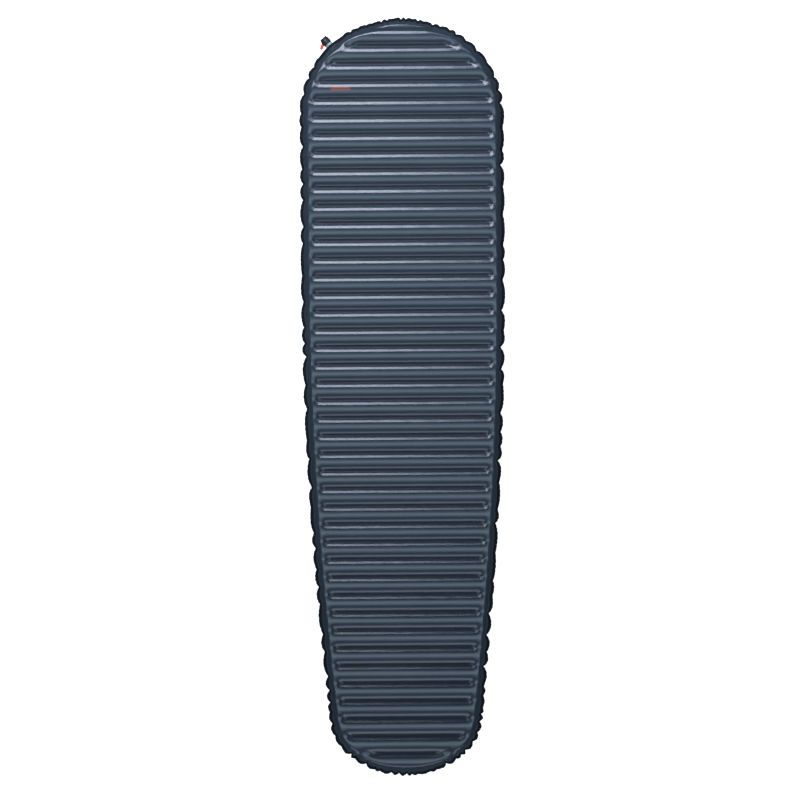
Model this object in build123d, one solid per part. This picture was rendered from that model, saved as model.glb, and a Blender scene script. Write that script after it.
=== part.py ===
from build123d import *

from math import acos, asin, atan2, cos, degrees, hypot, radians, sin, sqrt
import os

# Inflatable sleeping pad: two welded fabric skins, a two-layer triangular core and a winged one-way valve.
#
# Row frame, in millimetres: +Y towards the head end, +X towards the sleeper's left hand when lying face up
# with the head at +Y, +Z up. The origin is the centre of the footprint, on the ground.
# The films and skins are drawn thicker than the real coated cloth so that they mesh as closed solids.

# ---- driving dimensions of the pad -------------------------------------------------------------
LENGTH = 1830.0
WIDTH = 494.0
THICKNESS = 64.0
MID = THICKNESS / 2  # height of the perimeter weld
FLANGE = 7.0  # width of the perimeter weld
SKIN = 0.8  # drawn thickness of one skin

# ---- outline: head and foot are each a tip arc and two corner arcs, the sides a line and a long arc
HEAD_TIP_R = 280.0
HEAD_CORNER_R = 225.0
FOOT_TIP_R = 225.0
FOOT_CORNER_R = 125.0
TAPER_START_Y = 308.0  # the sides run straight down to here and curve in below it
TAPER_R = 9450.0

# ---- ribs ------------------------------------------------------------------------------------
RIB_PITCH = 42.9
WELD_LINES = 42  # rows where a skin is bonded to the core
FIRST_WELD_Y = 896.0
RIB_RISE = 8.5  # height of a rib's crest above the weld lines beside it
EDGE_ROUND = 30.0  # radius of the side wall
CLIP = 0.5  # how much the ground flattens a lower rib, and the room over an upper one

# ---- core --------------------------------------------------------------------------------------
FILM = 0.3  # drawn thickness of the core films
LAND = 4.0  # width of a bonded strip
GLUE = 0.1  # glue line between a film and what it is bonded to
CORE_INSET = 36.0  # the core stops this far inside the outline, so air can pass round it

# ---- valve: stations are distances along its axis, outwards from the outline --------------------
VALVE_ANGLE = 131.8  # direction of the valve's axis, from +X, about the head's left corner arc
BOAT_WIDTH = 60.0  # weld fitment, along the seam
BOAT_HEIGHT = 20.0
BOAT_IN = -16.0
BOAT_OUT = -1.0
POCKET_LAP = 6.0  # the skins' pocket starts this far outside the fitment's inner end
POCKET_LIP = 0.5  # how much of the fitment's outer end stands out of the pocket
NECK_R = 9.5
NECK_BORE_R = 8.0
NECK_OUT = 8.5
BODY_IN = -15.0
BODY_BORE_R = 5.5
SHOULDER_R = 10.0
SHOULDER_OUT = NECK_OUT + 2.0
HEAD_R = 7.5
BODY_OUT = SHOULDER_OUT + 16.0
MOUTH_R = 6.0
MOUTH_DEPTH = 5.0
GUIDE_R = 2.08  # hole of the spider that guides the stem
GUIDE_HUB_R = 3.28
GUIDE_THICK = 2.0
SPOKES = 3
SPOKE_WIDTH = 1.6
SPOKE_TURN = 30.0

# ---- collar, mouth ring and wing ------------------------------------------------------------------
COLLAR_IN = SHOULDER_OUT + 0.3
COLLAR_OUT = SHOULDER_OUT + 12.0
COLLAR_R = 11.0
COLLAR_BORE_R = 7.58
COLLAR_EDGE = 0.8
GRIPS = 12
GRIP_R = 0.9
GRIP_OFFSET = 0.35  # the grips' centres lie this far outside the collar
GRIP_START = 1.5
RING_IN = COLLAR_OUT + 0.3
RING_OUT = BODY_OUT + 0.6
RING_R = 9.5
RING_EDGE = 0.4
WING_ROOT_R = 8.6  # the wing starts inside the collar's slot
WING_KNEE_R = 15.3  # and turns back towards the pad here
WING_REACH = 22.5
WING_THICK = 3.2
WING_ROOT = (1.9, 8.9)  # its near and far edge, from the shoulder: at the root,
WING_KNEE = (-1.3, 7.7)  # at the knee
WING_TIP = (-2.9, 3.3)  # and at the tip
WING_CORNER = 2.6
WING_EDGE = 0.5
WING_SLOT = 0.5  # radial overlap of the wing's root with the collar's wall

# ---- seals ------------------------------------------------------------------------------------------
ORING_R = 0.5  # section radius of the collar's seal
ORING_NIP = 0.03  # room between the seal and the collar's bore
ORING_U = SHOULDER_OUT + 1.5
ORING_GROOVE = 0.65  # half the width of its groove
ORING_DEPTH = 0.95
SEAL_THICK = 0.95
SEAL_WIDTH = 2.0
SEAL_GAP = 0.05

# ---- locking gear: the collar's grooves drive a cross pin in and out -----------------------------------
PIN_R = 1.0
PIN_REACH = 9.2  # from the axis to the end of the cross pin
PIN_CLEAR = 0.15
PIN_U = SHOULDER_OUT + 9.0
GROOVE_R = 9.4
GROOVE_OVER = 50.0  # how far past its ends the groove's helix is drawn before it is cut off
TRAVEL = 4.0  # how far the carrier moves inwards
TURN = 90.0  # how far the collar turns for that
STEM_R = 2.0
STEM_END = 1.8  # how far the stem goes past the pin's centre
DISC_R = 7.7
DISC_THICK = 1.6
DISC_IN = BODY_IN - SEAL_THICK - SEAL_GAP - DISC_THICK
DISC_RIM = 2.2
HUB_R = 3.0
HUB_LENGTH = 5.0
HUB_CAVITY_R = 1.7
HUB_ROOF = 1.2

# ---- check flap -----------------------------------------------------------------------------------------
FLAP_R = 6.5
FLAP_THICK = 0.6
FLAP_STEM_R = 1.0
FLAP_STEM_ROOM = 0.08
FLAP_GAP = 0.05
FLAP_LIFT = 1.5
BARB_R = 1.5
BARB_LENGTH = 1.2
BARB_ROOM = 0.1


# ---- outline -----------------------------------------------------------------------------------
def polar(centre, radius, angle):
    """The point at an angle in degrees on a circle in the ground plane."""
    return (centre[0] + radius * cos(radians(angle)), centre[1] + radius * sin(radians(angle)))


def direction(start, end):
    """The angle in degrees of the line from one point to another."""
    return degrees(atan2(end[1] - start[1], end[0] - start[0]))


def crossing(a, ra, b, rb):
    """Where two circles meet, on the left-hand side of the line from a to b."""
    gap = hypot(b[0] - a[0], b[1] - a[1])
    turn = degrees(acos((gap**2 + ra**2 - rb**2) / (2 * gap * ra)))
    return polar(a, ra, direction(a, b) + turn)


HEAD_TIP = (0.0, LENGTH / 2 - HEAD_TIP_R)
HEAD_CORNER_X = WIDTH / 2 - HEAD_CORNER_R
HEAD_CORNER = (
    HEAD_CORNER_X,
    HEAD_TIP[1] + sqrt((HEAD_TIP_R - HEAD_CORNER_R) ** 2 - HEAD_CORNER_X**2),
)
TAPER = (WIDTH / 2 - TAPER_R, TAPER_START_Y)
FOOT_TIP = (0.0, FOOT_TIP_R - LENGTH / 2)
FOOT_CORNER = crossing(FOOT_TIP, FOOT_TIP_R - FOOT_CORNER_R, TAPER, TAPER_R - FOOT_CORNER_R)


def outline(inset):
    """The pad's outline as a face, moved inwards by inset."""
    head = direction(HEAD_TIP, HEAD_CORNER)
    taper = direction(TAPER, FOOT_CORNER)
    foot = direction(FOOT_TIP, FOOT_CORNER)
    side_x = WIDTH / 2 - inset
    right = [
        CenterArc(HEAD_CORNER, HEAD_CORNER_R - inset, 0, head),
        Line((side_x, TAPER_START_Y), (side_x, HEAD_CORNER[1])),
        CenterArc(TAPER, TAPER_R - inset, taper, -taper),
        CenterArc(FOOT_CORNER, FOOT_CORNER_R - inset, foot, taper - foot),
    ]
    tips = [
        CenterArc(HEAD_TIP, HEAD_TIP_R - inset, head, 180 - 2 * head),
        CenterArc(FOOT_TIP, FOOT_TIP_R - inset, -180 - foot, 180 + 2 * foot),
    ]
    left = [mirror(edge, about=Plane.YZ) for edge in right]
    return Face(Wire([edge for arc in [*right, *tips, *left] for edge in arc.edges()]))


# ---- skins -------------------------------------------------------------------------------------
def rib_prism(crest, inset):
    """The space under a row of ribs, above the height 0, moved inwards by inset."""
    half = RIB_PITCH / 2
    radius = (half**2 + RIB_RISE**2) / (2 * RIB_RISE)
    centre_z = crest - radius
    weld_z = centre_z + sqrt((radius - inset) ** 2 - half**2)
    start = FIRST_WELD_Y + RIB_PITCH
    arcs = []
    for rib in range(WELD_LINES + 2):
        y = start - rib * RIB_PITCH
        arcs.append(
            ThreePointArc((0, y, weld_z), (0, y - half, crest - inset), (0, y - RIB_PITCH, weld_z))
        )
    end = start - (WELD_LINES + 2) * RIB_PITCH
    rest = Polyline((0, end, weld_z), (0, end, 0), (0, start, 0), (0, start, weld_z))
    section = Face(Wire([*arcs, *rest.edges()]))
    return extrude(section, amount=WIDTH / 2 + FLANGE, dir=(1, 0, 0), both=True)


def weld_height(crest):
    """Height of the inside of a skin at its weld lines."""
    half = RIB_PITCH / 2
    radius = (half**2 + RIB_RISE**2) / (2 * RIB_RISE)
    return crest - radius + sqrt((radius - SKIN) ** 2 - half**2)


def envelope(height, inset):
    """The pad's upper half without ribs: the outline with a rounded top edge."""
    block = extrude(outline(FLANGE + inset), amount=height - inset)
    return fillet(block.edges().group_by(Axis.Z)[-1], EDGE_ROUND - inset)


def half_skin(crest, height):
    """One skin, drawn rib side up with its weld flange at height 0."""
    outside = rib_prism(crest, 0) & envelope(height, 0)
    inside = rib_prism(crest, SKIN) & envelope(height, SKIN)
    flange = extrude(outline(0) - outline(FLANGE + SKIN / 2), amount=SKIN)
    return (outside - inside) + flange


# ---- core --------------------------------------------------------------------------------------
def truss_film(top_z):
    """A folded film bonded in turn to a skin's weld lines and to the middle film."""
    low = FILM / 2 + GLUE
    high = top_z - GLUE - FILM
    half_land = LAND / 2
    line = []
    for weld in range(WELD_LINES):
        y = FIRST_WELD_Y - weld * RIB_PITCH
        line += [(y + half_land, high), (y - half_land, high)]
        if weld < WELD_LINES - 1:
            y -= RIB_PITCH / 2
            line += [(y + half_land, low), (y - half_land, low)]
    ribbon = [(0, y, z) for y, z in line] + [(0, y, z + FILM) for y, z in reversed(line)]
    section = Face(Wire(Polyline(*ribbon, close=True).edges()))
    prism = extrude(section, amount=WIDTH / 2, dir=(1, 0, 0), both=True)
    return prism & extrude(outline(CORE_INSET), amount=THICKNESS)


def middle_film():
    """The flat film between the two folded ones."""
    return Pos(0, 0, MID - FILM / 2) * extrude(outline(CORE_INSET), amount=FILM)


# ---- valve pieces, drawn along their own axis: local +Z outwards, +X along the seam, +Y up --------
VALVE_CENTRE = polar((-HEAD_CORNER[0], HEAD_CORNER[1]), HEAD_CORNER_R, VALVE_ANGLE)
VALVE_PLANE = Plane(
    origin=(*VALVE_CENTRE, MID),
    x_dir=(-sin(radians(VALVE_ANGLE)), cos(radians(VALVE_ANGLE)), 0),
    z_dir=(cos(radians(VALVE_ANGLE)), sin(radians(VALVE_ANGLE)), 0),
)


def placed(shape):
    """A valve piece moved from its own axis to the pad."""
    return VALVE_PLANE.location * shape


def rod(radius, start, end):
    """A round bar between two stations on the axis."""
    return Pos(0, 0, start) * extrude(Circle(radius), amount=end - start)


def lens(grow, start, end):
    """The pointed oval of the weld fitment, between two stations."""
    half_w, half_h = BOAT_WIDTH / 2, BOAT_HEIGHT / 2
    radius = (half_w**2 + half_h**2) / (2 * half_h)
    upper = Pos(0, half_h - radius) * Circle(radius + grow)
    lower = Pos(0, radius - half_h) * Circle(radius + grow)
    return Pos(0, 0, start) * extrude(upper & lower, amount=end - start)


def spider(hub_r, thick):
    """Spokes round a hub, from the hub to the bore's wall."""
    wheel = extrude(Circle(hub_r), amount=thick)
    for spoke in range(SPOKES):
        bar = Pos((hub_r + HEAD_R) / 2, 0) * Rectangle(HEAD_R - hub_r + 1, SPOKE_WIDTH)
        wheel += Rot(0, 0, spoke * 360 / SPOKES + SPOKE_TURN) * extrude(bar, amount=thick)
    return wheel


def boat():
    """Soft weld fitment: a pointed oval base and a short neck."""
    outer = lens(0, BOAT_IN, BOAT_OUT) + rod(NECK_R, BOAT_IN, NECK_OUT)
    return outer - rod(NECK_BORE_R, BOAT_IN - 1, NECK_OUT + 1)


def valve_body():
    """Rigid tube pressed into the neck, with a shoulder, pin slots and a stem guide."""
    tube = rod(NECK_BORE_R, BODY_IN, NECK_OUT) + rod(SHOULDER_R, NECK_OUT, SHOULDER_OUT)
    tube += rod(HEAD_R, SHOULDER_OUT, BODY_OUT)
    tube -= rod(BODY_BORE_R, BODY_IN - 1, BODY_OUT + 1)
    tube -= rod(MOUTH_R, BODY_OUT - MOUTH_DEPTH, BODY_OUT + 1)
    guide = (Pos(0, 0, NECK_OUT) * spider(GUIDE_HUB_R, GUIDE_THICK)) & rod(HEAD_R, 0, BODY_OUT)
    tube = tube + guide - rod(GUIDE_R, BODY_IN, BODY_OUT)
    slot = Rectangle(2 * HEAD_R + 4, TRAVEL + 2 * (PIN_R + PIN_CLEAR))
    width = 2 * (PIN_R + PIN_CLEAR)
    cutter = extrude(Plane.YZ * slot, amount=width / 2, both=True)
    tube -= Pos(0, 0, PIN_U - TRAVEL / 2) * cutter
    groove = rod(HEAD_R + 1, ORING_U - ORING_GROOVE, ORING_U + ORING_GROOVE)
    return tube - (groove - rod(HEAD_R - ORING_DEPTH, 0, BODY_OUT))


def collar_seal():
    """Round seal in a groove of the body, inside the collar."""
    ring = Plane.XZ * (Pos(COLLAR_BORE_R - ORING_NIP - ORING_R, ORING_U) * Circle(ORING_R))
    return revolve(ring, axis=Axis.Z)


def pin_groove():
    """Two helical grooves that turn the collar's rotation into the carrier's travel."""
    lead = TRAVEL / TURN
    half = (PIN_R + PIN_CLEAR) / lead
    height = lead * (TURN + 2 * GROOVE_OVER)
    stop = degrees(asin((PIN_R + PIN_CLEAR) / COLLAR_BORE_R))
    wedge = Polyline(
        (0, 0),
        *[polar((0, 0), 3 * GROOVE_R, a) for a in (-stop, TURN / 2, TURN + stop)],
        close=True,
    )
    keep = extrude(make_face(wedge), amount=BODY_OUT)
    ring = Circle(GROOVE_R) - Circle(COLLAR_BORE_R - 0.5)
    slice_ = Polyline(
        (0, 0), *[polar((0, 0), 3 * GROOVE_R, a) for a in (-half, 0, half)], close=True
    )
    sector = Rot(0, 0, -GROOVE_OVER) * (ring & make_face(slice_))
    start = PIN_U - TRAVEL - lead * GROOVE_OVER
    twisted = Solid.extrude_linear_with_rotation(
        sector.faces()[0].moved(Location((0, 0, start))),
        (0, 0, start),
        (0, 0, height),
        TURN + 2 * GROOVE_OVER,
    )
    one = twisted & keep
    return one + Rot(0, 0, 180) * one


def wing_blade():
    """The wing before the collar is cut out of it: a paddle that leans back towards the pad."""
    stations = ((WING_ROOT_R, WING_ROOT), (WING_KNEE_R, WING_KNEE), (WING_REACH, WING_TIP))
    near = [(r, SHOULDER_OUT + edges[0]) for r, edges in stations]
    far = [(r, SHOULDER_OUT + edges[1]) for r, edges in stations]
    face = make_face(Polyline(*near, *reversed(far), close=True))
    face = fillet(face.vertices().group_by(Axis.X)[-1], WING_CORNER)
    blade = extrude(Plane.XZ * face, amount=WING_THICK / 2, both=True)
    rims = blade.faces().filter_by(Axis.Y)
    return chamfer([edge for rim in rims for edge in rim.edges()], WING_EDGE)


def lock_wing():
    """Thumb wing, set in a slot of the collar."""
    return wing_blade() - rod(GROOVE_R + WING_SLOT, 0, BODY_OUT)


def lock_collar():
    """Turning collar with finger grips, a wing slot and helical pin grooves."""
    shell = rod(COLLAR_R, COLLAR_IN, COLLAR_OUT)
    shell = chamfer(shell.edges().group_by(Axis.Z)[-1], COLLAR_EDGE)
    shell = shell - rod(COLLAR_BORE_R, 0, BODY_OUT)
    for grip in range(GRIPS):
        angle = (grip + 0.5) * 360 / GRIPS
        dent = rod(GRIP_R, COLLAR_IN + GRIP_START, COLLAR_OUT + 1)
        shell -= Rot(0, 0, angle) * Pos(COLLAR_R + GRIP_OFFSET, 0) * dent
    shell -= pin_groove()
    hole = Rot(-90, 0, 0) * extrude(Circle(PIN_R + PIN_CLEAR), amount=COLLAR_R + 2)
    shell -= Pos(0, 0, PIN_U) * hole
    return shell - lock_wing()


def mouth_ring():
    """Bezel pressed on the body's end, which keeps the collar on."""
    ring = rod(RING_R, RING_IN, RING_OUT)
    ring = fillet(ring.edges().group_by(Axis.Z)[-1], RING_EDGE)
    return ring - rod(HEAD_R, 0, RING_OUT + 1)


def carrier():
    """Spoked disc with a stem, which carries the flap and opens the dump path."""
    web_out = DISC_IN + DISC_THICK
    hub_out = web_out + HUB_LENGTH
    rim = rod(DISC_R, DISC_IN, web_out) - rod(DISC_R - DISC_RIM, DISC_IN - 1, 0)
    wheel = (Pos(0, 0, DISC_IN) * spider(HUB_R, DISC_THICK)) & rod(DISC_R - 1, DISC_IN, 0)
    hub = rod(HUB_R, DISC_IN, hub_out) + rod(STEM_R, hub_out, PIN_U + STEM_END)
    hub -= rod(HUB_CAVITY_R, web_out, hub_out - HUB_ROOF)
    flap_hole = rod(FLAP_STEM_R + FLAP_STEM_ROOM, DISC_IN - 1, web_out + 1)
    return rim + wheel + hub - flap_hole - cross_pin()


def cross_pin():
    """Steel pin through the stem, with an end in each groove."""
    bar = Rot(90, 0, 0) * extrude(Circle(PIN_R), amount=PIN_REACH, both=True)
    return Pos(0, 0, PIN_U) * bar


def carrier_seal():
    """Flat ring between the carrier and the body's inner end."""
    start = DISC_IN + DISC_THICK
    return rod(DISC_R, start, start + SEAL_THICK) - rod(DISC_R - SEAL_WIDTH, start - 1, 0)


def check_flap():
    """Silicone umbrella: a thin disc on a stem with a barb held in the carrier's hub."""
    face = DISC_IN - FLAP_GAP
    barb_in = DISC_IN + DISC_THICK + FLAP_LIFT + BARB_ROOM
    disc = rod(FLAP_R, face - FLAP_THICK, face)
    stem = rod(FLAP_STEM_R, face - FLAP_THICK, barb_in)
    return disc + stem + rod(BARB_R, barb_in, barb_in + BARB_LENGTH)


# ---- the whole part ------------------------------------------------------------------------------
def skins():
    """Upper and lower skin, each with its half of the pocket round the weld fitment."""
    pocket = lens(0, BOAT_IN - 1, NECK_OUT) + rod(NECK_R, BOAT_IN - 1, NECK_OUT)
    sleeve = placed(lens(SKIN, BOAT_IN + POCKET_LAP, BOAT_OUT - POCKET_LIP))
    above = Pos(0, 0, MID) * extrude(Rectangle(2 * WIDTH, LENGTH), amount=MID)
    below = Pos(0, 0, -MID) * above
    upper = Pos(0, 0, MID) * half_skin(MID, MID + CLIP) + (sleeve & above)
    lower = Pos(0, 0, MID) * mirror(half_skin(MID + CLIP, MID), about=Plane.XY) + (sleeve & below)
    return {"top_skin": upper - placed(pocket), "bottom_skin": lower - placed(pocket)}


def core():
    """The three films inside the pad."""
    upper = Pos(0, 0, MID) * truss_film(weld_height(MID))
    lower = Pos(0, 0, MID) * mirror(truss_film(weld_height(MID + CLIP)), about=Plane.XY)
    return {"upper_truss_film": upper, "middle_film": middle_film(), "lower_truss_film": lower}


def valve():
    """Every piece of the valve, on the pad."""
    pieces = {
        "valve_boat": boat(),
        "valve_body": valve_body(),
        "collar_seal": collar_seal(),
        "mouth_ring": mouth_ring(),
        "lock_collar": lock_collar(),
        "lock_wing": lock_wing(),
        "flap_carrier": carrier(),
        "cross_pin": cross_pin(),
        "carrier_seal": carrier_seal(),
        "check_flap": check_flap(),
    }
    return {name: placed(piece) for name, piece in pieces.items()}


os.makedirs("parts", exist_ok=True)
for node, shape in {**skins(), **core(), **valve()}.items():
    export_step(shape, f"parts/{node}.step")
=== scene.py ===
"""Looks of the inflatable sleeping pad.

The two skins are meshed on a flat layout, joined in the edge weld and held along each weld line. A
formula gives the smooth blown-up shape, with its folds, and the cloth's rest lengths are that shape's own,
a little longer in the sides. A short cloth simulation under pressure then loosens it, and its fine jitter
is smoothed out. It works in millimetres, and the meshes are made in metres.
"""

from math import acos, atan2, cos, hypot, pi, radians, sin, sqrt, tan

import bpy
import numpy as np
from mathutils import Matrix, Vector
from mathutils.geometry import delaunay_2d_cdt


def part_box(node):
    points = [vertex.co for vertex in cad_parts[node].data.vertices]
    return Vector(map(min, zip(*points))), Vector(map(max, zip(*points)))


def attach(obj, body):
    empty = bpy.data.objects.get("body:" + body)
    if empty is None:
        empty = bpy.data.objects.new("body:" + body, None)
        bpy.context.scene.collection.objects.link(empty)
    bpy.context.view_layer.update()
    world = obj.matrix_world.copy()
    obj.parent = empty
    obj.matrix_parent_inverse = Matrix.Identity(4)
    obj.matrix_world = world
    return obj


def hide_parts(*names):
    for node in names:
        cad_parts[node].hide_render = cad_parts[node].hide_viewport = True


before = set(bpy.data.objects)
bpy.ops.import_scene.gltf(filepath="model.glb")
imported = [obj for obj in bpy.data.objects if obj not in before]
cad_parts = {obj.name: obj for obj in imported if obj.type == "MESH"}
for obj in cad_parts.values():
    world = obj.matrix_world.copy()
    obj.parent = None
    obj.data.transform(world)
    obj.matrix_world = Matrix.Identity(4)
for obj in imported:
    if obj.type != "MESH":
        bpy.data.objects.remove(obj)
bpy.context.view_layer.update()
MM = 0.001
SEED = 11

# ---- driving dimensions of the skins, in millimetres --------------------------------------------
SKIN_LOW, SKIN_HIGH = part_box("top_skin")
LENGTH = (SKIN_HIGH.y - SKIN_LOW.y) / MM
WIDTH = (SKIN_HIGH.x - SKIN_LOW.x) / MM
THICKNESS = SKIN_HIGH.z / MM
MID = THICKNESS / 2
FLANGE = 7.0
RIB_PITCH = 42.9
RIB_RISE = 8.5
STRIP = 0.8  # half the width of a bonded strip
WELD_LINES = 42
FIRST_WELD_Y = 896.0
FIRST_WELD_HALF = 74.0  # the first weld line is a short one, close to the tip
SIDE_DEPTH = 23.5  # the top skin turns down this far inside the outline
CORE_INSET = 36.0  # the core, and the weld lines' hold, stop this far inside the outline
RIB_END = 9.0  # beyond their hold the valleys lose their crease over this length
END_ROUND = 6.0  # and become this round
VALLEY_START = 4.0  # the valleys between the ribs begin this far inside the outline
HEAD_TIP_R = 280.0
HEAD_CORNER_R = 225.0
FOOT_TIP_R = 225.0
FOOT_CORNER_R = 125.0
TAPER_START_Y = 308.0
TAPER_R = 9450.0

# ---- flat layout size -------------------------------------------------------------------------------------
RIB_HALF = RIB_PITCH / 2 - STRIP
RIB_RADIUS = (RIB_HALF**2 + RIB_RISE**2) / (2 * RIB_RISE)
RIB_ARC = 2 * RIB_RADIUS * atan2(RIB_HALF, RIB_RADIUS - RIB_RISE) + 2 * STRIP
SHRINK = RIB_ARC / RIB_PITCH  # how much longer the cloth is than the blown-up pad
SIDE_ARC = 33.6  # how wide the side wall is in the layout; blown up, it is a little longer
SIDE_EXTRA = SIDE_ARC - (SIDE_DEPTH - FLANGE)
SIDE_END = FLANGE + SIDE_ARC

# ---- mesh -----------------------------------------------------------------------------------------
FREE_ROWS = 7
COLUMN = 10.4
RING_STEP = 5.0
RIM_STEP = 4.0
RINGS = (0.0, 3.5, 7.0, 12.6, 18.2, 23.8, 29.4, 35.0)
EPS = 0.01

# ---- folds in the rim: stations along half of it, mean spacing, depth and lift ---------------------
GATHER_AT = (0.0, 240.0, 430.0, 1650.0, 1760.0, 2100.0)
GATHER_PITCH = (15.0, 32.0, 56.0, 52.0, 24.0, 19.0)
GATHER_DEPTH = (4.6, 7.0, 8.0, 8.0, 7.2, 6.0)
GATHER_OUTSET = (5.5, 1.5, -2.0, -2.0, -1.5, 5.0)  # how far the cloth between gathers stands out
GATHER_LIFT = 3.5
CRINKLE_AT = (0.0, 2100.0)
CRINKLE_PITCH = (10.0, 10.0)
CRINKLE_DEPTH = (1.1, 1.1)
CRINKLE_LIFT = 1.8
WANDER = 0.04  # how strongly the ribs stray from a true arc
WAVES = 9
WAVE_LENGTHS = (45, 240)
SPREAD = (0.6, 1.45)  # the spacing of folds varies by this much
DEEPEN = (0.35, 1.4)  # and their depth by this much
END_VALLEYS = 0.85  # how deep the valleys stay where the rim runs along them
VALVE_CLEAR = 34.0  # half the stretch of rim that the valve's fitment keeps straight


# ---- outline ----------------------------------------------------------------------------------------
def polar(centre, radius, angle):
    """Points on a circle in the ground plane."""
    return np.stack([centre[0] + radius * np.cos(angle), centre[1] + radius * np.sin(angle)], axis=-1)


def direction(start, end):
    """The angle of the line from one point to another."""
    return atan2(end[1] - start[1], end[0] - start[0])


def crossing(a, ra, b, rb):
    """Where two circles meet, on the left-hand side of the line from a to b."""
    gap = hypot(b[0] - a[0], b[1] - a[1])
    return polar(a, ra, direction(a, b) + acos((gap**2 + ra**2 - rb**2) / (2 * gap * ra)))


HEAD_TIP = (0.0, LENGTH / 2 - HEAD_TIP_R)
HEAD_CORNER_X = WIDTH / 2 - HEAD_CORNER_R
HEAD_CORNER = (HEAD_CORNER_X, HEAD_TIP[1] + sqrt((HEAD_TIP_R - HEAD_CORNER_R) ** 2 - HEAD_CORNER_X**2))
TAPER = (WIDTH / 2 - TAPER_R, TAPER_START_Y)
FOOT_TIP = (0.0, FOOT_TIP_R - LENGTH / 2)
FOOT_CORNER = crossing(FOOT_TIP, FOOT_TIP_R - FOOT_CORNER_R, TAPER, TAPER_R - FOOT_CORNER_R)
HEAD_ANGLE = direction(HEAD_TIP, HEAD_CORNER)
TAPER_ANGLE = direction(TAPER, FOOT_CORNER)
FOOT_ANGLE = direction(FOOT_TIP, FOOT_CORNER)

# ---- valve place ------------------------------------------------------------------------------------
VALVE_ANGLE = radians(131.8)
VALVE_OUT = np.array((cos(VALVE_ANGLE), sin(VALVE_ANGLE)))
VALVE_ALONG = np.array((-sin(VALVE_ANGLE), cos(VALVE_ANGLE)))
VALVE_CENTRE = polar((-HEAD_CORNER[0], HEAD_CORNER[1]), HEAD_CORNER_R, VALVE_ANGLE)
BOAT_HALF_WIDTH = 30.0
BOAT_HALF_HEIGHT = 10.0
BOAT_IN, BOAT_OUT = -16.0, 8.0  # how far the skins part inside and outside the edge's arc


def half_outline(inset):
    """The right half of the outline, from head to foot, as closely spaced points."""
    arcs = (
        (HEAD_TIP, HEAD_TIP_R, pi / 2, HEAD_ANGLE),
        (HEAD_CORNER, HEAD_CORNER_R, HEAD_ANGLE, 0.0),
        (TAPER, TAPER_R, 0.0, TAPER_ANGLE),
        (FOOT_CORNER, FOOT_CORNER_R, TAPER_ANGLE, FOOT_ANGLE),
        (FOOT_TIP, FOOT_TIP_R, FOOT_ANGLE, -pi / 2),
    )
    return np.vstack([polar(c, r - inset, np.linspace(a, b, 300)) for c, r, a, b in arcs])


def walked(line):
    """The distance along a line at each of its points."""
    return np.concatenate([[0], np.cumsum(np.hypot(*np.diff(line, axis=0).T))])


def ring(inset, step, phase):
    """Evenly spaced points all round the outline, moved inwards by inset."""
    right = half_outline(inset)
    loop = np.vstack([right, right[::-1] * (-1, 1)])
    along = walked(loop)
    count = round(along[-1] / step)
    at = (np.arange(count) + phase) / count * along[-1]
    return np.stack([np.interp(at, along, loop[:, k]) for k in (0, 1)], axis=-1)


def inset_field(points):
    """How far inside the outline each point is, and its outward direction."""
    x, y = np.abs(points[:, 0]), points[:, 1]
    corner = np.array(FOOT_CORNER)
    in_head_tip = (np.arctan2(y - HEAD_TIP[1], x) >= HEAD_ANGLE) & (y > HEAD_TIP[1])
    in_foot_tip = np.arctan2(y - FOOT_TIP[1], x) <= FOOT_ANGLE
    in_foot = y - corner[1] <= tan(TAPER_ANGLE) * (x - corner[0])
    cases = [in_head_tip, y >= HEAD_CORNER[1], y >= TAPER_START_Y, in_foot_tip, in_foot]
    cx = np.select(cases, [0.0, HEAD_CORNER[0], TAPER[0], 0.0, corner[0]], TAPER[0])
    cy = np.select(cases, [HEAD_TIP[1], HEAD_CORNER[1], y, FOOT_TIP[1], corner[1]], TAPER[1])
    radius = np.select(
        cases, [HEAD_TIP_R, HEAD_CORNER_R, TAPER_R, FOOT_TIP_R, FOOT_CORNER_R], TAPER_R
    )
    away = np.stack([x - cx, y - cy], axis=-1)
    reach = np.hypot(away[:, 0], away[:, 1])
    normal = away / np.maximum(reach, EPS)[:, None]
    normal[:, 0] *= np.where(points[:, 0] < 0, -1, 1)
    return radius - reach, normal


# ---- folds in the rim -------------------------------------------------------------------------------
RIM = half_outline(0.0)
RIM_WALKED = walked(RIM)


def folds(rng, at, pitch, depth, lift):
    """Folds along half of the rim, from the head's tip to the foot's: places, depths and lifts."""
    places, depths = [0.0], [depth[0]]
    while places[-1] < RIM_WALKED[-1]:
        places.append(places[-1] + np.interp(places[-1], at, pitch) * rng.uniform(*SPREAD))
        depths.append(np.interp(places[-1], at, depth) * rng.uniform(*DEEPEN))
    places[-1] = RIM_WALKED[-1] + EPS
    depths[-1] = depth[-1]
    return np.array(places), np.array(depths), rng.uniform(-lift, lift, len(places))


def fold_rng():
    """The random draws of the folds, apart from those of the cloth."""
    return np.random.default_rng(SEED)


def all_folds():
    """Folds of the right and the left half of the rim: wide gathers and fine crinkles."""
    rng = fold_rng()
    kinds = (
        (GATHER_AT, GATHER_PITCH, GATHER_DEPTH, GATHER_LIFT),
        (CRINKLE_AT, CRINKLE_PITCH, CRINKLE_DEPTH, CRINKLE_LIFT),
    )
    return [[folds(rng, *kind) for kind in kinds] for _ in range(2)]


FOLDS = all_folds()


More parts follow.
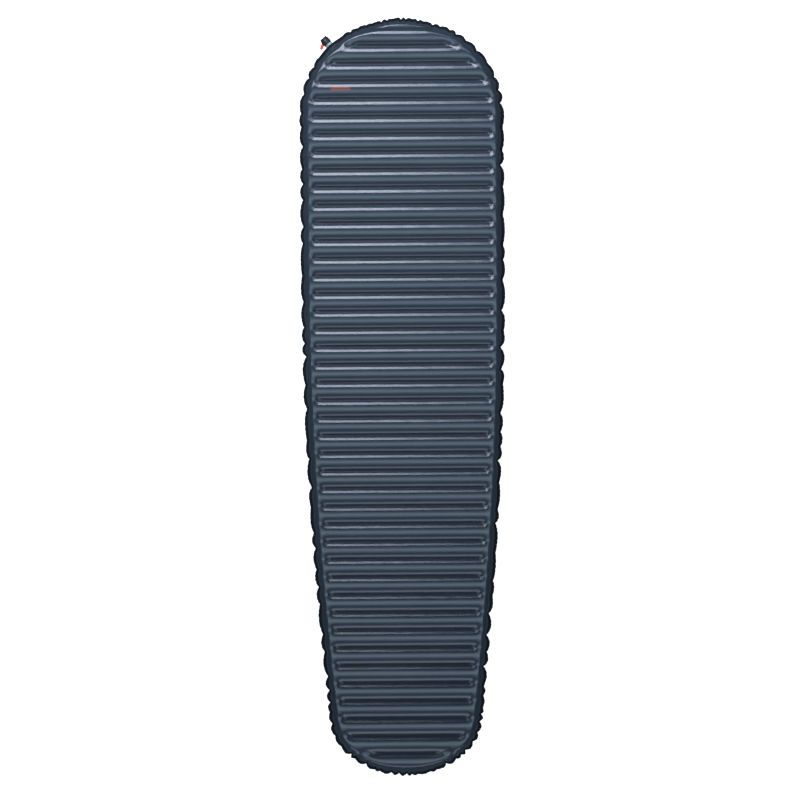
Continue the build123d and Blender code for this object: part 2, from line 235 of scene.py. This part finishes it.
def drawn_in(points, raw, normal):
    """How far the rim nearest each point is drawn in by its folds, and how far it is lifted."""
    nearest = points + normal * raw[:, None]
    along = np.interp(-nearest[:, 1], -RIM[:, 1], RIM_WALKED)
    draw, lift = np.zeros(len(points)), np.zeros(len(points))
    for half, kinds in enumerate(FOLDS):
        own = (points[:, 0] < 0) == bool(half)
        for places, depths, lifts in kinds:
            which = np.searchsorted(places, along, side="right") - 1
            step = (along - places[which]) / (places[which + 1] - places[which])
            bulge = np.sin(pi * step)
            depth = depths[which] * (1 - step) + depths[which + 1] * step
            draw += own * depth * (1 - np.abs(bulge) ** 0.8)
            lift += own * lifts[which] * bulge
    draw -= np.interp(along, GATHER_AT, GATHER_OUTSET)
    near_valve = np.abs((points - VALVE_CENTRE) @ VALVE_ALONG)
    beside = (points - VALVE_CENTRE) @ VALVE_OUT > -2 * SIDE_DEPTH
    free = np.where(beside, np.clip((near_valve - VALVE_CLEAR) / VALVE_CLEAR * 2, 0, 1), 1.0)
    return draw * free, lift * free


def wander(points):
    """A slow random rise and fall."""
    rng = fold_rng()
    total = np.zeros(len(points))
    for _ in range(WAVES):
        length = rng.uniform(*WAVE_LENGTHS)
        heading = rng.uniform(0, pi)
        phase = rng.uniform(0, 2 * pi)
        total += np.sin((points @ (cos(heading), sin(heading))) * 2 * pi / length + phase)
    return WANDER * total


# ---- flat layout ------------------------------------------------------------------------------------
def weld_rows():
    """Points of the rows inside the rings, row by row, with each bonded row marked."""
    edge = half_outline(SIDE_DEPTH)
    order = np.argsort(edge[:, 1])
    low, high = edge[:, 1].min() + 2, edge[:, 1].max() - 2
    step = (RIB_PITCH - 2 * STRIP) / (FREE_ROWS + 1)
    rows = []
    for line in range(WELD_LINES + 1):
        weld_y = FIRST_WELD_Y - line * RIB_PITCH
        bonded = [(weld_y + side * STRIP, True) for side in (1, 0, -1)] if line < WELD_LINES else []
        free = [(weld_y - STRIP - step * (k + 1), False) for k in range(FREE_ROWS)]
        for y, is_weld in bonded + free:
            if is_weld and line == 0:
                end = FIRST_WELD_HALF
            elif low < y < high:
                end = np.interp(y, edge[order, 1], edge[order, 0])
            else:
                continue
            count = max(2, round(2 * end / COLUMN))
            x = np.linspace(-end, end, count + 1)
            if len(rows) % 2:
                x = np.concatenate([x[:1], (x[:-1] + x[1:]) / 2, x[-1:]])
            rows.append((np.stack([x, np.full_like(x, y)], axis=-1), is_weld))
    return rows


def layout():
    """Triangles of one skin before it is stretched, with the points on weld lines marked."""
    points, edges, weld = [], [], []
    count = 0
    for k, inset in enumerate(RINGS):
        loop = ring(inset - SIDE_EXTRA, RIM_STEP if inset <= FLANGE else RING_STEP, 0.5 * (k % 2))
        if inset > FLANGE:
            near = (np.abs(loop[:, 1] - FIRST_WELD_Y) < 5) & (np.abs(loop[:, 0]) < FIRST_WELD_HALF + 3)
            loop = loop[~near]
        else:
            ids = np.arange(count, count + len(loop))
            edges += list(zip(ids.tolist(), np.roll(ids, -1).tolist()))
        points.append(loop)
        weld.append(np.zeros(len(loop), bool))
        count += len(loop)
    for row, is_weld in weld_rows():
        if is_weld:
            edges += [(i, i + 1) for i in range(count, count + len(row) - 1)]
        points.append(row)
        weld.append(np.full(len(row), is_weld))
        count += len(row)
    points, weld = np.vstack(points), np.concatenate(weld)
    found = delaunay_2d_cdt([Vector(p) for p in points.tolist()], edges, [], 1, 1e-4)
    source = [group[0] for group in found[3]]
    faces = np.array([face for face in found[2] if len(face) == 3])
    return points[source], weld[source], faces


def eased(values, low, high):
    """From 0 at low to 1 at high, with a level start and end."""
    step = np.clip((values - low) / (high - low), 0, 1)
    return step**2 * (3 - 2 * step)


def blown_up(points, up):
    """Where layout points stand in the smooth blown-up pad; up is 1 above, -1 below, 0 in the edge weld."""
    raw, normal = inset_field(points)
    cut = raw + SIDE_EXTRA
    swing = np.clip((SIDE_END - cut) / SIDE_ARC, 0, 1) * pi / 2
    side = SIDE_DEPTH - (SIDE_DEPTH - FLANGE) * np.sin(swing)
    inset = np.where(cut < FLANGE, cut, np.where(cut < SIDE_END, side, raw))
    draw, lift = drawn_in(points, raw, normal)
    inset = inset + draw * np.clip((SIDE_END - cut) / SIDE_ARC, 0, 1) ** 1.6
    plan = points - normal * (inset - raw)[:, None]
    across = (points[:, 1] - FIRST_WELD_Y) % RIB_PITCH - RIB_PITCH / 2
    tip = normal[:, 1] ** 4
    crease = np.maximum(eased(inset, CORE_INSET - RIB_END, CORE_INSET), tip**4)
    reach = np.maximum(RIB_HALF - np.abs(across), 0)
    reach = np.minimum(np.hypot(reach, (1 - crease) * END_ROUND), RIB_HALF)
    drop = RIB_RADIUS - np.sqrt(RIB_RADIUS**2 - (RIB_HALF - reach) ** 2)
    fade = eased(inset, VALLEY_START, CORE_INSET)
    fade += (1 - fade) * END_VALLEYS * tip
    stray = wander(points) * (1 - drop / RIB_RISE)
    height = (MID - drop * fade + stray) * np.cos(swing)
    height[cut < FLANGE + EPS] = 0
    near_rim = np.clip((FLANGE + SIDE_ARC / 2 - cut) / (SIDE_ARC / 2), 0, 1)
    return np.column_stack([plan, up * height + lift * near_rim]), cut


# ---- cloth ------------------------------------------------------------------------------------------
TOP, BOTTOM, EDGE = 1, -1, 0
SLACK = 0.012  # spare cloth in the sides and the edge weld
BEND = 0.02
SQUEEZE = 0.5
COARSE_STEPS = 90
FINE_STEPS = 36
COARSE_PUSH = 0.008
FINE_PUSH = 0.002
COARSE_CALM = 0.95  # how much of a point's speed is kept from step to step
FINE_CALM = 0.9
START_NOISE = 0.04
IRON_ROUNDS = 60


class Sheet:
    """Both skins as one closed sheet.

    Each point has its layout place, its side (1 above, -1 below, 0 in the edge weld), whether it is
    bonded to the core, its smooth blown-up place, and its place now.
    """

    def __init__(self, points, up, held, faces):
        self.points, self.up, self.held, self.faces = points, up, held, faces
        self.smooth, cut = blown_up(points, up)
        self.spare = SLACK * (cut < SIDE_END - EPS)
        self.place = self.smooth.copy()

    def sides(self):
        """The side of each face."""
        return np.sign(self.up[self.faces].sum(axis=1))

    def finer(self):
        """The same sheet with each triangle divided into four."""
        count = len(self.points)
        a, b, c = self.faces.T
        pairs = np.sort(np.vstack([np.stack([a, b], 1), np.stack([b, c], 1), np.stack([c, a], 1)]), axis=1)
        keys, where = np.unique(pairs[:, 0] * count + pairs[:, 1], return_inverse=True)
        first, second = keys // count, keys % count
        ab, bc, ca = count + where.reshape(3, -1)
        faces = np.vstack([np.stack(f, 1) for f in ((a, ab, ca), (ab, b, bc), (ca, bc, c), (ab, bc, ca))])
        sheet = Sheet(
            np.vstack([self.points, (self.points[first] + self.points[second]) / 2]),
            np.concatenate([self.up, np.where(self.up[first] == EDGE, self.up[second], self.up[first])]),
            np.concatenate([self.held, self.held[first] & self.held[second]]),
            faces,
        )
        moved = self.place - self.smooth
        sheet.place += np.vstack([moved, (moved[first] + moved[second]) / 2])
        return sheet


def sewn_sheet():
    """The two skins, sharing their points in the edge weld."""
    points, weld, faces = layout()
    raw, _ = inset_field(points)
    rim = raw + SIDE_EXTRA < FLANGE + EPS
    bonded = weld & ((raw > CORE_INSET) | (points[:, 1] > FIRST_WELD_Y - 2 * STRIP))
    count = len(points)
    lower = np.arange(count)
    lower[~rim] = count + np.arange((~rim).sum())
    on_edge = rim[faces].all(axis=1)
    up = np.concatenate([np.where(rim, EDGE, TOP), np.full((~rim).sum(), BOTTOM)])
    return Sheet(
        np.vstack([points, points[~rim]]),
        up,
        np.concatenate([bonded, bonded[~rim]]),
        np.vstack([faces, lower[faces[~on_edge]][:, ::-1]]),
    )


def joined(faces, count):
    """Every edge, and for each edge between two faces the pair of corners facing it."""
    a, b, c = faces.T
    pairs = np.sort(np.vstack([np.stack([a, b], 1), np.stack([b, c], 1), np.stack([c, a], 1)]), axis=1)
    facing = np.concatenate([c, a, b])
    keys = pairs[:, 0].astype(np.int64) * count + pairs[:, 1]
    order = np.argsort(keys, kind="stable")
    same = keys[order][1:] == keys[order][:-1]
    bends = np.stack([facing[order][1:][same], facing[order][:-1][same]], axis=1)
    edges = pairs[order][np.concatenate([[True], ~same])]
    return edges, bends


def groups_of(pairs, count, rng):
    """Splits the pairs into groups in which no point appears twice."""
    left, groups = np.arange(len(pairs)), []
    while len(left):
        free = np.ones(count, bool)
        pool, taken = left, []
        for _ in range(4):
            rank = rng.permutation(len(pool))
            best = np.full(count, len(pool))
            np.minimum.at(best, pairs[pool, 0], rank)
            np.minimum.at(best, pairs[pool, 1], rank)
            win = (best[pairs[pool]] == rank[:, None]).all(axis=1)
            taken.append(pool[win])
            free[pairs[pool[win]]] = False
            pool = pool[~win]
            pool = pool[free[pairs[pool]].all(axis=1)]
        groups.append(np.concatenate(taken))
        left = np.setdiff1d(left, groups[-1], assume_unique=True)
    return groups


def links(pairs, sheet, give, rng):
    """Distance links for the solver: ends, rest length, each end's share of a correction."""
    mobile = 1.0 - sheet.held
    made = []
    for group in groups_of(pairs, len(sheet.place), rng):
        i, j = pairs[group].T
        rest = np.sqrt(((sheet.smooth[i] - sheet.smooth[j]) ** 2).sum(axis=1))
        rest = rest * (1 + (sheet.spare[i] + sheet.spare[j]) / 2)
        total = mobile[i] + mobile[j]
        keep = (total > 0) & (rest > EPS)
        i, j, rest, total = i[keep], j[keep], rest[keep], total[keep]
        made.append((i, j, rest, give * mobile[i] / total, give * mobile[j] / total))
    return made


def pull(place, made, squeeze):
    """Moves each link's ends towards its rest length; squeeze is how stiff it is when too short."""
    for i, j, rest, share_i, share_j in made:
        gap = place[j] - place[i]
        length = np.sqrt(np.einsum("ij,ij->i", gap, gap))
        excess = (length - rest) / np.maximum(length, EPS)
        excess = np.where(excess < 0, excess * squeeze, excess)
        place[i] += gap * (excess * share_i)[:, None]
        place[j] -= gap * (excess * share_j)[:, None]


def pressure(place, faces, count):
    """The area vector of each point's share of the faces."""
    a, b, c = place[faces[:, 0]], place[faces[:, 1]], place[faces[:, 2]]
    area = np.cross(b - a, c - a) / 6
    total = np.zeros((count, 3))
    for axis in range(3):
        weights = np.repeat(area[:, axis], 3)
        total[:, axis] = np.bincount(faces.ravel(), weights, minlength=count)
    return total


def settle(sheet, steps, push, calm, rng):
    """Blows the sheet up until it is nearly still."""
    count = len(sheet.place)
    edges, bends = joined(sheet.faces, count)
    stretch = links(edges, sheet, 1.0, rng)
    bend = links(bends, sheet, BEND, rng)
    blown = sheet.faces[sheet.sides() != EDGE]
    sides = (sheet.smooth[blown[:, k]] - sheet.smooth[blown[:, 0]] for k in (1, 2))
    cell = np.linalg.norm(np.cross(*sides), axis=1)
    place, before = sheet.place, sheet.place.copy()
    free = (~sheet.held)[:, None]
    for step in range(steps):
        if step % 4 == 0:
            force = push * pressure(place, blown, count) / cell.mean()
        moved = ((place - before) * calm + force) * free
        before = place.copy()
        place += moved
        pull(place, bend, 1.0)
        pull(place, stretch, SQUEEZE)
        np.maximum(place[:, 2], -MID, out=place[:, 2])


def iron(sheet):
    """Takes the fine jitter out of where the cloth has moved."""
    count = len(sheet.place)
    edges, _ = joined(sheet.faces, count)
    ends = np.concatenate([edges, edges[:, ::-1]])
    near = np.bincount(ends[:, 0], minlength=count)
    moved = sheet.place - sheet.smooth
    for _ in range(IRON_ROUNDS):
        around = [np.bincount(ends[:, 0], moved[ends[:, 1], k], minlength=count) / near for k in range(3)]
        mean = (moved + np.stack(around, axis=1)) / 2
        moved = np.where(sheet.held[:, None], moved, mean)
    sheet.place = sheet.smooth + moved


def blown_sheet():
    """The simulated skins, at their finer mesh."""
    rng = np.random.default_rng(SEED)
    sheet = sewn_sheet()
    loose = ~sheet.held
    sheet.place[loose] += rng.normal(0, START_NOISE, (int(loose.sum()), 3))
    settle(sheet, COARSE_STEPS, COARSE_PUSH, COARSE_CALM, rng)
    sheet = sheet.finer()
    settle(sheet, FINE_STEPS, FINE_PUSH, FINE_CALM, rng)
    iron(sheet)
    sheet.place[:, 2] = np.maximum(sheet.place[:, 2], -MID)
    return sheet


# ---- skin pieces ------------------------------------------------------------------------------------
CLOTH = 0.3  # half the thickness of the edge weld
VALLEY_SHADE = 0.7  # how much of the edge weld's dark colour and dullness the weld lines get: painted shade in the valleys


def mesh_of(name, verts, faces, uvs, weld_and_shade, bonded):
    """A smooth mesh, in metres, from places in millimetres over the middle of the pad."""
    mesh = bpy.data.meshes.new(name)
    mesh.vertices.add(len(verts))
    mesh.vertices.foreach_set("co", ((verts + (0, 0, MID)) * MM).astype(np.float32).ravel())
    mesh.loops.add(faces.size)
    mesh.loops.foreach_set("vertex_index", faces.astype(np.int32).ravel())
    mesh.polygons.add(len(faces))
    mesh.polygons.foreach_set("loop_start", np.arange(0, faces.size, 3, dtype=np.int32))
    mesh.polygons.foreach_set("use_smooth", np.ones(len(faces), bool))
    layer = mesh.uv_layers.new(name="cloth")
    layer.data.foreach_set("uv", uvs[faces.ravel()].astype(np.float32).ravel())
    # the weld value: 1 in the edge weld, and part of that along the weld lines as painted valley shade
    weld = mesh.attributes.new("weld", "FLOAT", "POINT")
    weld.data.foreach_set("value", weld_and_shade.astype(np.float32))
    mesh.update(calc_edges=True)
    ends = np.empty(2 * len(mesh.edges), np.int32)
    mesh.edges.foreach_get("vertices", ends)
    sharp = mesh.attributes.new("sharp_edge", "BOOLEAN", "EDGE")
    sharp.data.foreach_set("value", bonded[ends.reshape(-1, 2)].all(axis=1))
    mesh.validate()
    return mesh


def open_border(faces):
    """The directed edges that belong to one face only."""
    pairs = np.vstack([faces[:, [0, 1]], faces[:, [1, 2]], faces[:, [2, 0]]]).astype(np.int64)
    count = faces.max() + 1
    keys = pairs[:, 0] * count + pairs[:, 1]
    back = pairs[:, 1] * count + pairs[:, 0]
    return pairs[~np.isin(keys, back)]


def skin_piece(name, sheet, side):
    """One skin with its half of the edge weld, closed down to the middle at the cut edge."""
    sides = sheet.sides()
    own, edge = sheet.faces[sides == side], sheet.faces[sides == EDGE]
    faces = np.vstack([own, edge if side == TOP else edge[:, ::-1]])
    used, faces = np.unique(faces, return_inverse=True)
    faces = faces.reshape(-1, 3)
    verts, rim = sheet.place[used].copy(), sheet.up[used] == EDGE
    normals = pressure(verts, faces, len(verts))
    normals /= np.maximum(np.linalg.norm(normals, axis=1), 1e-9)[:, None]
    border = open_border(faces)
    inner = verts.copy()
    verts[rim] += normals[rim] * CLOTH
    lift_over_boat(verts, side)
    uvs = sheet.points[used] * (MM, SHRINK * MM)
    fresh = {int(i): len(verts) + k for k, i in enumerate(np.unique(border))}
    low = np.array([fresh[int(i)] for i in border.ravel()]).reshape(-1, 2)
    first = np.stack([border[:, 1], border[:, 0], low[:, 0]], 1)
    walls = np.vstack([first, np.stack([border[:, 1], low[:, 0], low[:, 1]], 1)])
    ends = np.unique(border)
    verts = np.vstack([verts, inner[ends]])
    bonded = np.concatenate([sheet.held[used], np.zeros(len(ends), bool)])
    # dark in the edge weld, and painted shade on the bonded weld lines in the valleys
    weld_and_shade = np.maximum(np.concatenate([rim, rim[ends]]), VALLEY_SHADE * bonded)
    mesh = mesh_of(name, verts, np.vstack([faces, walls]), np.vstack([uvs, uvs[ends]]), weld_and_shade, bonded)
    piece = bpy.data.objects.new(name, mesh)
    bpy.context.scene.collection.objects.link(piece)
    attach(piece, "pad")
    return piece


def lift_over_boat(verts, up):
    """Raises the edge weld over the valve's fitment, where the two skins part to let it in."""
    radius = (BOAT_HALF_WIDTH**2 + BOAT_HALF_HEIGHT**2) / (2 * BOAT_HALF_HEIGHT)
    gap = verts[:, :2] - VALVE_CENTRE
    along = gap @ VALVE_ALONG
    out = gap @ VALVE_OUT
    near = (np.abs(along) < BOAT_HALF_WIDTH) & (out > BOAT_IN) & (out < BOAT_OUT)
    room = BOAT_HALF_HEIGHT - radius + np.sqrt(np.maximum(radius**2 - along**2, 0)) + CLOTH
    raised = np.maximum(verts[:, 2] * up, np.where(near, room, -MID))
    verts[near, 2] = up * raised[near]


# ---- shader helpers ---------------------------------------------------------------------------------
class Nodes:
    """Short calls for building one material."""

    def __init__(self, name):
        self.material = bpy.data.materials.new(name)
        self.material.use_nodes = True
        self.tree = self.material.node_tree
        self.shader = self.tree.nodes["Principled BSDF"]

    def add(self, kind, **values):
        """Adds a node; values are its properties, or its inputs by name with _ for a space."""
        node = self.tree.nodes.new(kind)
        for key, value in values.items():
            if hasattr(node, key):
                setattr(node, key, value)
            else:
                node.inputs[key.replace("_", " ")].default_value = value
        return node

    def link(self, source, target):
        """Joins an output to an input."""
        self.tree.links.new(source, target)

    def math(self, operation, first, second=None):
        """A Math node on sockets or numbers."""
        node = self.add("ShaderNodeMath", operation=operation)
        for socket, value in zip(node.inputs, (first, second)):
            if value is None:
                continue
            if isinstance(value, (int, float)):
                socket.default_value = value
            else:
                self.link(value, socket)
        return node.outputs[0]

    def mix(self, factor, first, second):
        """A colour mix; the colours are sockets or RGB."""
        node = self.add("ShaderNodeMix", data_type="RGBA")
        for socket, value in ((node.inputs[0], factor), (node.inputs[6], first), (node.inputs[7], second)):
            if isinstance(value, tuple):
                socket.default_value = (*value, 1)
            elif isinstance(value, (int, float)):
                socket.default_value = value
            else:
                self.link(value, socket)
        return node.outputs[2]

    def noise(self, source, scale, detail=3.0):
        """Noise from 0 to 1."""
        node = self.add("ShaderNodeTexNoise", Scale=scale, Detail=detail)
        self.link(source, node.inputs["Vector"])
        return node.outputs["Fac"]

    def bump(self, height, distance, strength=1.0, under=None):
        """A bump normal."""
        node = self.add("ShaderNodeBump", Distance=distance, Strength=strength)
        self.link(height, node.inputs["Height"])
        if under is not None:
            self.link(under, node.inputs["Normal"])
        return node.outputs[0]


def ramp(nodes, value, low, high, start, end):
    """A value moved from one range to another, clamped."""
    node = nodes.add("ShaderNodeMapRange")
    nodes.link(value, node.inputs["Value"])
    for key, number in (("From Min", low), ("From Max", high), ("To Min", start), ("To Max", end)):
        node.inputs[key].default_value = number
    return node.outputs[0]


# ---- materials ----------------------------------------------------------------------------------------
SLATE = (0.026, 0.037, 0.052)
SLATE_WORN = (0.031, 0.043, 0.058)
# the edge weld's dark colour, also painted as shade along the weld lines in the valleys
WELD_DARK_AND_VALLEY_SHADE = (0.008, 0.010, 0.014)
WELD_ROUGH = 0.85
PRINT_RED = (0.26, 0.050, 0.033)
PRINT_COVER = 0.85
YARN = 0.00045
YARN_HEIGHT = 0.0000025
RIPSTOP = 0.0052
RIPSTOP_HEIGHT = 0.00001
# the printed bar, in metres of cloth: lowest, highest, start and end
PRINT_BAR = (0.7430 * SHRINK, 0.7520 * SHRINK, -0.1720, -0.1240)


def weave(nodes, u, v):
    """Height of a plain weave, from -1 to 1, and of its thicker ripstop threads, from 0 to 1."""
    threads = [nodes.math("SINE", nodes.math("MULTIPLY", axis, 2 * pi / YARN)) for axis in (u, v)]
    plain = nodes.math("MULTIPLY", *threads)
    ribs = []
    for axis in (u, v):
        beat = nodes.math("PINGPONG", axis, RIPSTOP / 2)
        ribs.append(ramp(nodes, beat, 0.0, 0.00035, 1.0, 0.0))
    return plain, nodes.math("MAXIMUM", *ribs)


def print_mask(nodes, u, v):
    """A plain straight bar, printed on one rib near the head."""
    low, high, start, end = PRINT_BAR
    cover = nodes.math("MULTIPLY", nodes.math("GREATER_THAN", v, low), nodes.math("LESS_THAN", v, high))
    cover = nodes.math("MULTIPLY", cover, nodes.math("GREATER_THAN", u, start))
    cover = nodes.math("MULTIPLY", cover, nodes.math("LESS_THAN", u, end))
    return nodes.math("MULTIPLY", cover, PRINT_COVER)


def cloth_material(name, base, worn, roughness, printed):
    """Coated ripstop nylon, darker and duller in the edge weld, with painted shade and less sheen along the
    weld lines in the valleys.
    """
    nodes = Nodes(name)
    cloth = nodes.add("ShaderNodeUVMap", uv_map="cloth").outputs[0]
    split = nodes.add("ShaderNodeSeparateXYZ")
    nodes.link(cloth, split.inputs[0])
    u, v = split.outputs[0], split.outputs[1]
    weld_and_shade = nodes.add("ShaderNodeAttribute", attribute_name="weld").outputs["Fac"]
    plain, rib = weave(nodes, u, v)
    patches = nodes.noise(cloth, 9.0, 5.0)
    scuffs = nodes.noise(cloth, 70.0, 4.0)
    colour = nodes.mix(ramp(nodes, patches, 0.35, 0.7, 0.0, 1.0), base, worn)
    colour = nodes.mix(nodes.math("MULTIPLY", rib, 0.25), colour, tuple(1.5 * c for c in worn))
    if printed:
        colour = nodes.mix(print_mask(nodes, u, v), colour, PRINT_RED)
    # darker in the edge weld, and painted shade along the weld lines in the valleys
    colour = nodes.mix(weld_and_shade, colour, WELD_DARK_AND_VALLEY_SHADE)
    nodes.link(ramp(nodes, weld_and_shade, 0.0, 1.0, 0.5, 0.15), nodes.shader.inputs["Specular IOR Level"])
    nodes.link(colour, nodes.shader.inputs["Base Color"])
    rough = ramp(nodes, scuffs, 0.3, 0.75, roughness - 0.03, roughness + 0.04)
    dull = ramp(nodes, weld_and_shade, 0.0, 1.0, 0.0, WELD_ROUGH)
    nodes.link(nodes.math("MAXIMUM", rough, dull), nodes.shader.inputs["Roughness"])
    threads = nodes.math("MULTIPLY", plain, YARN_HEIGHT)
    height = nodes.math("ADD", threads, nodes.math("MULTIPLY", rib, RIPSTOP_HEIGHT))
    normal = nodes.bump(height, 1.0)
    nodes.link(nodes.bump(scuffs, 0.0002, 0.1, normal), nodes.shader.inputs["Normal"])
    nodes.shader.inputs["Sheen Weight"].default_value = 0.05
    nodes.shader.inputs["Sheen Roughness"].default_value = 0.4
    return nodes.material


def moulded_material(name, base, roughness, grain, weight=0.0):
    """Moulded plastic or rubber with a fine grain."""
    nodes = Nodes(name)
    place = nodes.add("ShaderNodeTexCoord").outputs["Object"]
    specks = nodes.noise(place, 2600.0, 2.0)
    clouds = nodes.noise(place, 140.0, 3.0)
    dark = tuple(0.8 * c for c in base)
    nodes.link(nodes.mix(clouds, dark, base), nodes.shader.inputs["Base Color"])
    rough = ramp(nodes, clouds, 0.3, 0.7, roughness - 0.05, roughness + 0.06)
    nodes.link(rough, nodes.shader.inputs["Roughness"])
    nodes.link(nodes.bump(specks, grain), nodes.shader.inputs["Normal"])
    nodes.shader.inputs["Subsurface Weight"].default_value = weight
    nodes.shader.inputs["Subsurface Scale"].default_value = 0.002
    return nodes.material


def metal_material(name, base, roughness):
    """Turned metal."""
    nodes = Nodes(name)
    place = nodes.add("ShaderNodeTexCoord").outputs["Object"]
    lines = nodes.noise(place, 900.0, 2.0)
    nodes.shader.inputs["Base Color"].default_value = (*base, 1)
    nodes.shader.inputs["Metallic"].default_value = 1.0
    rough = ramp(nodes, lines, 0.3, 0.7, roughness - 0.06, roughness + 0.08)
    nodes.link(rough, nodes.shader.inputs["Roughness"])
    return nodes.material


def dress(materials):
    """Gives each CAD node that stays its material."""
    for node, key in NODE_LOOK.items():
        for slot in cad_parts[node].material_slots:
            slot.material = materials[key]


NODE_LOOK = {
    "valve_boat": "soft",
    "valve_body": "black",
    "lock_collar": "black",
    "mouth_ring": "black",
    "flap_carrier": "black",
    "lock_wing": "orange",
    "cross_pin": "steel",
    "collar_seal": "rubber",
    "carrier_seal": "rubber",
    "check_flap": "silicone",
    "upper_truss_film": "film",
    "middle_film": "film",
    "lower_truss_film": "film",
}


# ---- camera, lights and floor --------------------------------------------------------------------------
FRAME_WIDTH = 1.936
LENS = 135.0
SENSOR = 36.0
ROLL = radians(-0.42)
CAMERA_X = -0.0092
CAMERA_Y = -0.0072
FLOOR_HALF = 30.0
FLOOR_GAP = 0.0006
FLOOR_GLOW = 0.86
DIM_ROOM = (0.070, 0.086, 0.107)
BLUISH = (0.80, 0.87, 1.0)
TEAL = (0.66, 0.86, 1.0)
# lamps beyond the head, in two rows: y, height, aim; then x and how bright each looks
KEY_R = 0.5
KEY_ROWS = ((3.55, 2.6, 1.75), (2.95, 3.3, 1.45))
KEY_COLUMNS = ((-0.3, 13.5), (-1.25, 12.0), (-2.2, 6.0), (-3.15, 4.0), (0.7, 2.7), (1.65, 2.7))
KEY_CONE = 45.5
# lamps beyond the foot, meant for the foot half
FOOT_R = 1.1
FOOT_COLUMNS = (-1.3, 0.0, 1.3)
FOOT_CONE = 27.5
FOOT_GLOW = 1.9
BLEND = 0.35


def camera():
    """Looks straight down, from far off."""
    data = bpy.data.cameras.new("camera")
    data.lens = LENS
    data.sensor_width = SENSOR
    data.clip_end = 100.0
    body = bpy.data.objects.new("camera", data)
    body.location = (CAMERA_X, CAMERA_Y, FRAME_WIDTH * LENS / SENSOR + THICKNESS * MM)
    body.rotation_euler = (0, 0, ROLL)
    bpy.context.scene.collection.objects.link(body)
    bpy.context.scene.camera = body


def area_light(name, place, target, size, radiance, colour):
    """A rectangular light that faces a point; radiance is in watts per square metre and steradian."""
    data = bpy.data.lights.new(name, "AREA")
    data.shape = "RECTANGLE"
    data.size, data.size_y = size
    data.energy = radiance * pi * size[0] * size[1]
    data.color = colour
    lamp = bpy.data.objects.new(name, data)
    lamp.location = place
    facing = Vector(target) - Vector(place)
    lamp.rotation_euler = facing.to_track_quat("-Z", "Y").to_euler()
    bpy.context.scene.collection.objects.link(lamp)


def soft_spot(name, place, target, radius, radiance, cone):
    """A round lamp with a cone of light that lights part of the pad."""
    data = bpy.data.lights.new(name, "SPOT")
    data.shadow_soft_size = radius
    data.energy = radiance * 4 * pi**2 * radius**2
    data.color = BLUISH
    data.spot_size = radians(cone)
    data.spot_blend = BLEND
    lamp = bpy.data.objects.new(name, data)
    lamp.location = place
    facing = Vector(target) - Vector(place)
    lamp.rotation_euler = facing.to_track_quat("-Z", "Y").to_euler()
    bpy.context.scene.collection.objects.link(lamp)


def studio():
    """A pale glowing floor, kept out of reflections and bounced light, and the lamps in a dim room."""
    mesh = bpy.data.meshes.new("floor")
    corners = [(x * FLOOR_HALF, y * FLOOR_HALF, 0) for x, y in ((-1, -1), (1, -1), (1, 1), (-1, 1))]
    mesh.from_pydata(corners, [], [(0, 1, 2, 3)])
    floor = bpy.data.objects.new("floor", mesh)
    floor.location.z = -FLOOR_GAP
    bpy.context.scene.collection.objects.link(floor)
    nodes = Nodes("floor")
    nodes.shader.inputs["Base Color"].default_value = (0.9, 0.9, 0.9, 1)
    nodes.shader.inputs["Roughness"].default_value = 0.9
    nodes.shader.inputs["Emission Color"].default_value = (1, 1, 1, 1)
    nodes.shader.inputs["Emission Strength"].default_value = FLOOR_GLOW
    mesh.materials.append(nodes.material)
    floor.visible_diffuse = False
    floor.visible_glossy = False
    world = bpy.data.worlds.new("studio")
    world.use_nodes = True
    world.node_tree.nodes["Background"].inputs[0].default_value = (*DIM_ROOM, 1)
    bpy.context.scene.world = world
    for y, height, aim in KEY_ROWS:
        for x, radiance in KEY_COLUMNS:
            soft_spot("key", (x, y, height), (x * 0.3, aim, 0), KEY_R, radiance, KEY_CONE)
    for x in FOOT_COLUMNS:
        soft_spot("foot", (x, -4.2, 1.3), (x * 0.3, -1.9, 0), FOOT_R, FOOT_GLOW, FOOT_CONE)
    area_light("overhead", (0, -0.7, 5.6), (0, 0, 0), (5.0, 2.2), 1.5, TEAL)
    area_light("overhead_rim", (0, -0.7, 5.7), (0, 0, 0), (5.6, 5.2), 1.25, TEAL)
    area_light("foot_fill", (0, -3.8, 1.8), (0, 0, 0), (5.0, 3.0), 0.42, BLUISH)


def main():
    """Builds the pieces, gives everything its material, and sets the scene."""
    materials = {
        "soft": moulded_material("soft_fitment", (0.42, 0.45, 0.50), 0.35, 0.00001, 0.3),
        "black": moulded_material("valve_black", (0.014, 0.015, 0.016), 0.42, 0.00002),
        "orange": moulded_material("wing_orange", (0.75, 0.10, 0.03), 0.38, 0.00001),
        "rubber": moulded_material("seal_rubber", (0.02, 0.02, 0.021), 0.6, 0.00001),
        "silicone": moulded_material("flap_silicone", (0.7, 0.71, 0.72), 0.4, 0.00001, 0.4),
        "film": moulded_material("core_film", (0.5, 0.51, 0.52), 0.3, 0.00001),
        "steel": metal_material("pin_steel", (0.62, 0.62, 0.64), 0.25),
    }
    sheet = blown_sheet()
    for name, side, node, slot, rough, printed in (
        ("upper_cloth", TOP, "top_skin", "upper_cloth", 0.16, True),
        ("lower_cloth", BOTTOM, "bottom_skin", "lower_cloth", 0.42, False),
    ):
        piece = skin_piece(name, sheet, side)
        piece.data.materials.append(cloth_material(name, SLATE, SLATE_WORN, rough, printed))
        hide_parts(node)
    dress(materials)
    camera()
    studio()
    bpy.context.scene.view_settings.view_transform = "Standard"


main()
